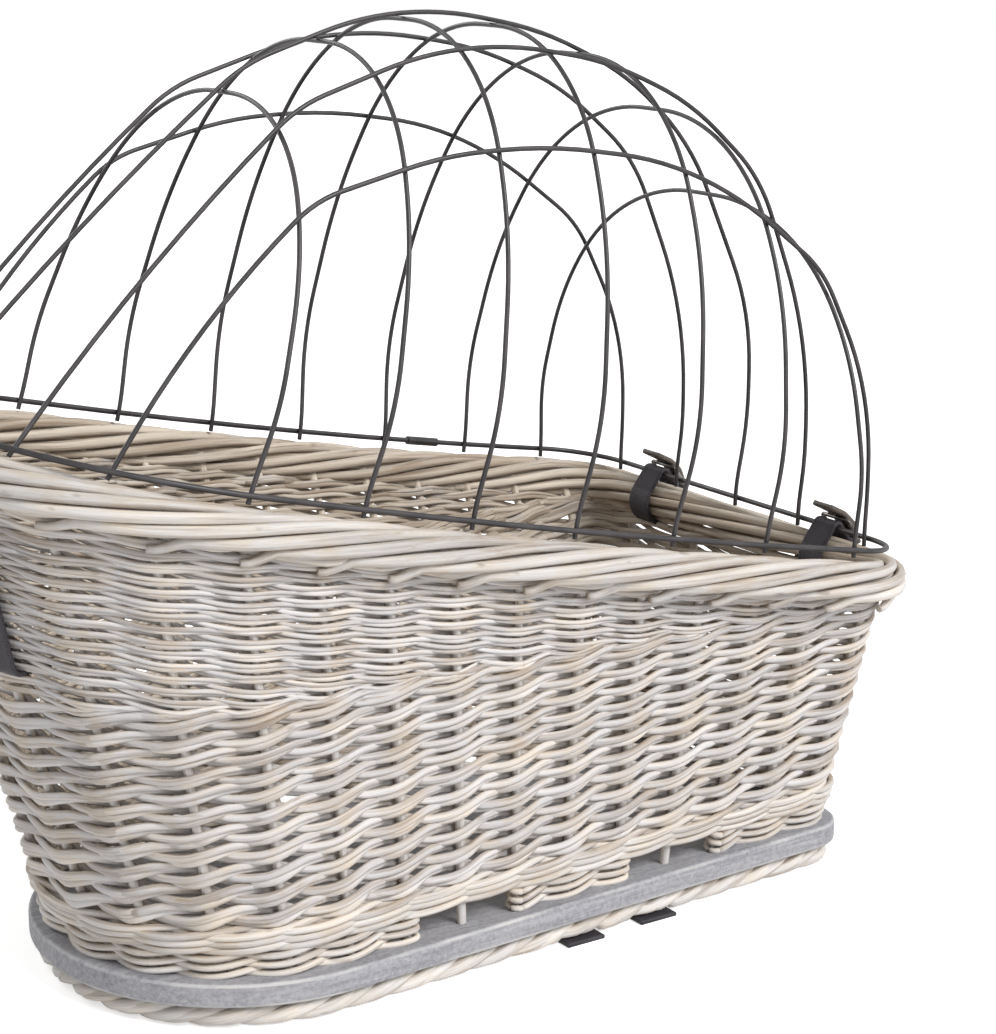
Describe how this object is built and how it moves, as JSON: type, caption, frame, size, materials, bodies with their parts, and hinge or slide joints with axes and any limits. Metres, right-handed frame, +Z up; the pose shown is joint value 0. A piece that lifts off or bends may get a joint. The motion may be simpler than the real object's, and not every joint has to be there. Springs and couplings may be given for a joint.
{
  "type": "dog bicycle basket",
  "caption": "Wicker dog basket for a bicycle, flared from a wooden base plate up to a rolled sloping rim, with a hinged dome of welded wire arches and webbing straps with buckles.",
  "frame": {"origin": "on the floor under the middle of the whole basket, halfway between its ends and its sides", "axes": "+X points to the low end with the guard's hinge, -X to the tall end, +Y to the far side, +Z up"},
  "size_m": [0.5481, 0.3242, 0.4944],
  "materials": {
    "willow_grey": "grey-washed woven willow rods, matt",
    "willow_light": "pale grey-washed willow rods, matt",
    "plate_wood": "grey-washed board with fine grain, matt",
    "wire": "dark coated steel wire, satin",
    "webbing": "black woven webbing",
    "buckle_metal": "darkened steel, worn bright on its edges"
  },
  "bodies": {
    "basket": {"side_wall": "willow_grey", "base_weave_tall_end": "willow_light", "base_weave_near": "willow_light", "base_weave_far": "willow_light", "base_weave_low_end": "willow_light", "wale_band": "willow_light", "stakes": "willow_light", "rim_border": "willow_light", "foot_border": "willow_light", "base_plate": "plate_wood", "hinge_strap_near": "webbing", "closure_strap_near": "webbing", "hinge_buckle_near": "buckle_metal", "closure_buckle_near": "buckle_metal", "hinge_strap_far": "webbing", "closure_strap_far": "webbing", "hinge_buckle_far": "buckle_metal", "closure_buckle_far": "buckle_metal", "rack_strap_1": "webbing", "rack_strap_2": "webbing"},
    "guard": {"guard_ring": "wire", "ring_sleeve": "wire", "cross_arch_1": "wire", "cross_arch_2": "wire", "cross_arch_3": "wire", "cross_arch_4": "wire", "cross_arch_5": "wire", "cross_arch_6": "wire", "cross_arch_7": "wire", "runner_middle": "wire", "runner_inner_near": "wire", "runner_inner_far": "wire", "runner_outer_near": "wire", "runner_outer_far": "wire", "guard_tab_near": "webbing", "guard_tab_far": "webbing"},
    "hinge_prong_near": {"hinge_prong_near": "buckle_metal"},
    "hinge_prong_far": {"hinge_prong_far": "buckle_metal"},
    "closure_prong_near": {"closure_prong_near": "buckle_metal"},
    "closure_prong_far": {"closure_prong_far": "buckle_metal"}
  },
  "joints": [
    {"name": "guard_hinge", "type": "hinge", "parent": "basket", "child": "guard", "pos_m": [0.2585, 0, 0.2015], "axis": [0, 1, 0], "range_deg": [0, 100]},
    {"name": "hinge_prong_near_turn", "type": "hinge", "parent": "basket", "child": "hinge_prong_near", "pos_m": [0.27154, -0.08, 0.1948], "axis": [0, 1, 0], "range_deg": [0, 150]},
    {"name": "hinge_prong_far_turn", "type": "hinge", "parent": "basket", "child": "hinge_prong_far", "pos_m": [0.27154, 0.08, 0.1948], "axis": [0, 1, 0], "range_deg": [0, 150]},
    {"name": "closure_prong_near_turn", "type": "hinge", "parent": "basket", "child": "closure_prong_near", "pos_m": [-0.24667, -0.04328, 0.2472], "axis": [0.3198, -0.9475, 0], "range_deg": [0, 150]},
    {"name": "closure_prong_far_turn", "type": "hinge", "parent": "basket", "child": "closure_prong_far", "pos_m": [-0.24667, 0.04328, 0.2472], "axis": [-0.3198, -0.9475, 0], "range_deg": [0, 150]}
  ]
}
